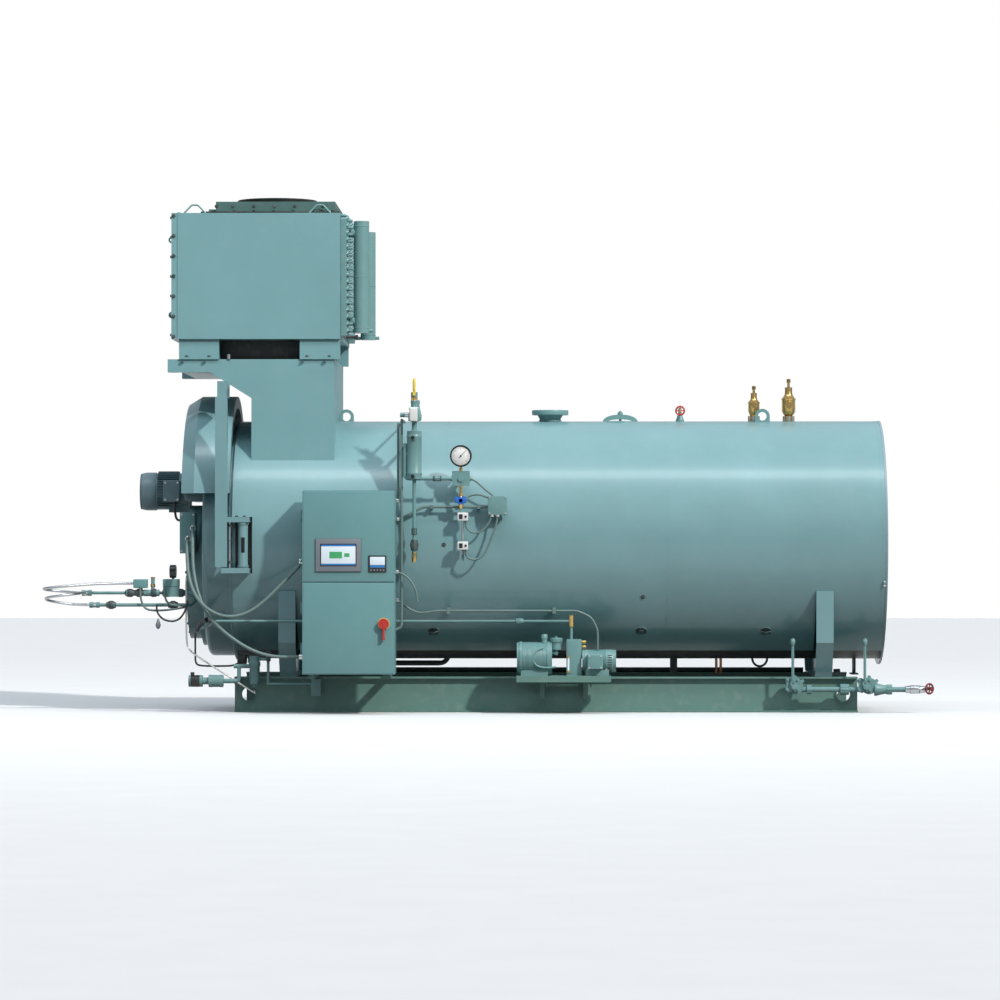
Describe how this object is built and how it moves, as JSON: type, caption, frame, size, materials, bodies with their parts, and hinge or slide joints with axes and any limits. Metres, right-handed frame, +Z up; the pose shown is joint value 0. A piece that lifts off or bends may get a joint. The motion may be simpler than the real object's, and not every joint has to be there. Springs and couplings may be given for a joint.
{
  "type": "industrial boiler",
  "caption": "Skid-mounted horizontal fire-tube boiler with burner, flue economizer, control cabinet, water column, air compressor and blowdown piping.",
  "frame": {"origin": "on the floor under the middle of the base frame", "axes": "+X from the burner end to the rear door, +Z up, -Y towards the side with the control cabinet"},
  "size_m": [9.1728, 3.0692, 5.345],
  "materials": {
    "air_compressor": "satin",
    "air_line": "satin",
    "air_oil_tank": "satin",
    "base_crossmembers": "satin",
    "base_rails": "satin",
    "blowdown_handwheel": "satin",
    "blowdown_lever_front": "satin",
    "blowdown_lever_rear": "satin",
    "blowdown_piping": "satin",
    "blower_motor": "satin",
    "burner_conduit_lower": "satin",
    "burner_conduit_upper": "satin",
    "burner_housing": "satin",
    "burner_junction_box": "satin",
    "burner_windbox": "satin",
    "cabinet_body": "satin",
    "cabinet_brackets": "satin",
    "cabinet_conduit_front": "satin",
    "cabinet_conduit_rear": "satin",
    "column_piping": "satin",
    "column_valve_lever": "satin",
    "compressor_motor": "satin",
    "compressor_tray": "satin",
    "control_junction_box": "satin",
    "disconnect_handle": "gloss",
    "door_displays": "gloss",
    "economizer_casing": "satin",
    "economizer_end_cover": "satin",
    "economizer_headers": "satin",
    "economizer_hood": "satin",
    "economizer_platform": "satin",
    "economizer_tube_bends": "matte",
    "flue_duct": "satin",
    "front_head": "satin",
    "fuel_hose_return": "satin",
    "fuel_hose_supply": "satin",
    "fuel_train": "satin",
    "gas_valve": "satin",
    "gauge_cock_handle": "satin",
    "gauge_manifold": "satin",
    "handhole_covers": "satin",
    "head_davit": "satin",
    "jacket": "satin",
    "lifting_points": "satin",
    "lower_door": "satin",
    "manway": "satin",
    "pressure_gauge": "gloss",
    "pressure_shell": "satin",
    "pressure_switches": "satin",
    "rear_door": "satin",
    "rigid_conduits": "satin",
    "saddles": "satin",
    "safety_valves": "satin",
    "steam_nozzle": "satin",
    "switch_conduit_lower": "satin",
    "switch_conduit_upper": "satin",
    "top_vent_valve": "satin",
    "upper_door": "satin",
    "vent_handwheel": "gloss",
    "water_column": "satin"
  },
  "bodies": {
    "boiler": {"air_compressor": "air_compressor", "air_line": "air_line", "air_oil_tank": "air_oil_tank", "base_crossmembers": "base_crossmembers", "base_rails": "base_rails", "blowdown_piping": "blowdown_piping", "blower_motor": "blower_motor", "burner_conduit_lower": "burner_conduit_lower", "burner_conduit_upper": "burner_conduit_upper", "burner_housing": "burner_housing", "burner_junction_box": "burner_junction_box", "burner_windbox": "burner_windbox", "cabinet_body": "cabinet_body", "cabinet_brackets": "cabinet_brackets", "cabinet_conduit_front": "cabinet_conduit_front", "cabinet_conduit_rear": "cabinet_conduit_rear", "column_piping": "column_piping", "compressor_motor": "compressor_motor", "compressor_tray": "compressor_tray", "control_junction_box": "control_junction_box", "economizer_casing": "economizer_casing", "economizer_end_cover": "economizer_end_cover", "economizer_headers": "economizer_headers", "economizer_hood": "economizer_hood", "economizer_platform": "economizer_platform", "economizer_tube_bends": "economizer_tube_bends", "flue_duct": "flue_duct", "front_head": "front_head", "fuel_hose_return": "fuel_hose_return", "fuel_hose_supply": "fuel_hose_supply", "fuel_train": "fuel_train", "gas_valve": "gas_valve", "gauge_manifold": "gauge_manifold", "handhole_covers": "handhole_covers", "head_davit": "head_davit", "jacket": "jacket", "lifting_points": "lifting_points", "manway": "manway", "pressure_gauge": "pressure_gauge", "pressure_shell": "pressure_shell", "pressure_switches": "pressure_switches", "rear_door": "rear_door", "rigid_conduits": "rigid_conduits", "saddles": "saddles", "safety_valves": "safety_valves", "steam_nozzle": "steam_nozzle", "switch_conduit_lower": "switch_conduit_lower", "switch_conduit_upper": "switch_conduit_upper", "top_vent_valve": "top_vent_valve", "water_column": "water_column"},
    "upper_door": {"upper_door": "upper_door", "door_displays": "door_displays"},
    "lower_door": {"lower_door": "lower_door"},
    "disconnect_handle": {"disconnect_handle": "disconnect_handle"},
    "column_valve_lever": {"column_valve_lever": "column_valve_lever"},
    "gauge_cock_handle": {"gauge_cock_handle": "gauge_cock_handle"},
    "vent_handwheel": {"vent_handwheel": "vent_handwheel"},
    "blowdown_lever_front": {"blowdown_lever_front": "blowdown_lever_front"},
    "blowdown_lever_rear": {"blowdown_lever_rear": "blowdown_lever_rear"},
    "blowdown_handwheel": {"blowdown_handwheel": "blowdown_handwheel"}
  },
  "joints": [
    {"name": "upper_door_hinge", "type": "hinge", "parent": "boiler", "child": "upper_door", "pos_m": [-2.477, -1.7, 1.8], "axis": [0, 0, 1], "range_deg": [-110, 0]},
    {"name": "lower_door_hinge", "type": "hinge", "parent": "boiler", "child": "lower_door", "pos_m": [-2.477, -1.7, 0.9], "axis": [0, 0, 1], "range_deg": [-110, 0]},
    {"name": "disconnect_turn", "type": "hinge", "parent": "lower_door", "child": "disconnect_handle", "pos_m": [-1.639, -1.764, 0.923], "axis": [0, -1, 0], "range_deg": [0, 90]},
    {"name": "column_valve_turn", "type": "hinge", "parent": "boiler", "child": "column_valve_lever", "pos_m": [-1.34, -1.475, 3.262], "axis": [0, 1, 0], "range_deg": [0, 90]},
    {"name": "gauge_cock_turn", "type": "hinge", "parent": "boiler", "child": "gauge_cock_handle", "pos_m": [-0.866, -1.425, 2.176], "axis": [0, 1, 0], "range_deg": [0, 90]},
    {"name": "vent_wheel_turn", "type": "hinge", "parent": "boiler", "child": "vent_handwheel", "pos_m": [1.409, -0.095, 3.133], "axis": [0, 1, 0], "range_deg": [0, 360]},
    {"name": "blowdown_lever_front_turn", "type": "hinge", "parent": "boiler", "child": "blowdown_lever_front", "pos_m": [2.533, -1.141, 0.299], "axis": [0, 1, 0], "range_deg": [-80, 0]},
    {"name": "blowdown_lever_rear_turn", "type": "hinge", "parent": "boiler", "child": "blowdown_lever_rear", "pos_m": [3.271, -1.141, 0.299], "axis": [0, 1, 0], "range_deg": [0, 80]},
    {"name": "blowdown_wheel_turn", "type": "hinge", "parent": "boiler", "child": "blowdown_handwheel", "pos_m": [3.93213, -1.13414, 0.249], "axis": [0.5878, -0.809, 0], "range_deg": [0, 360]}
  ]
}
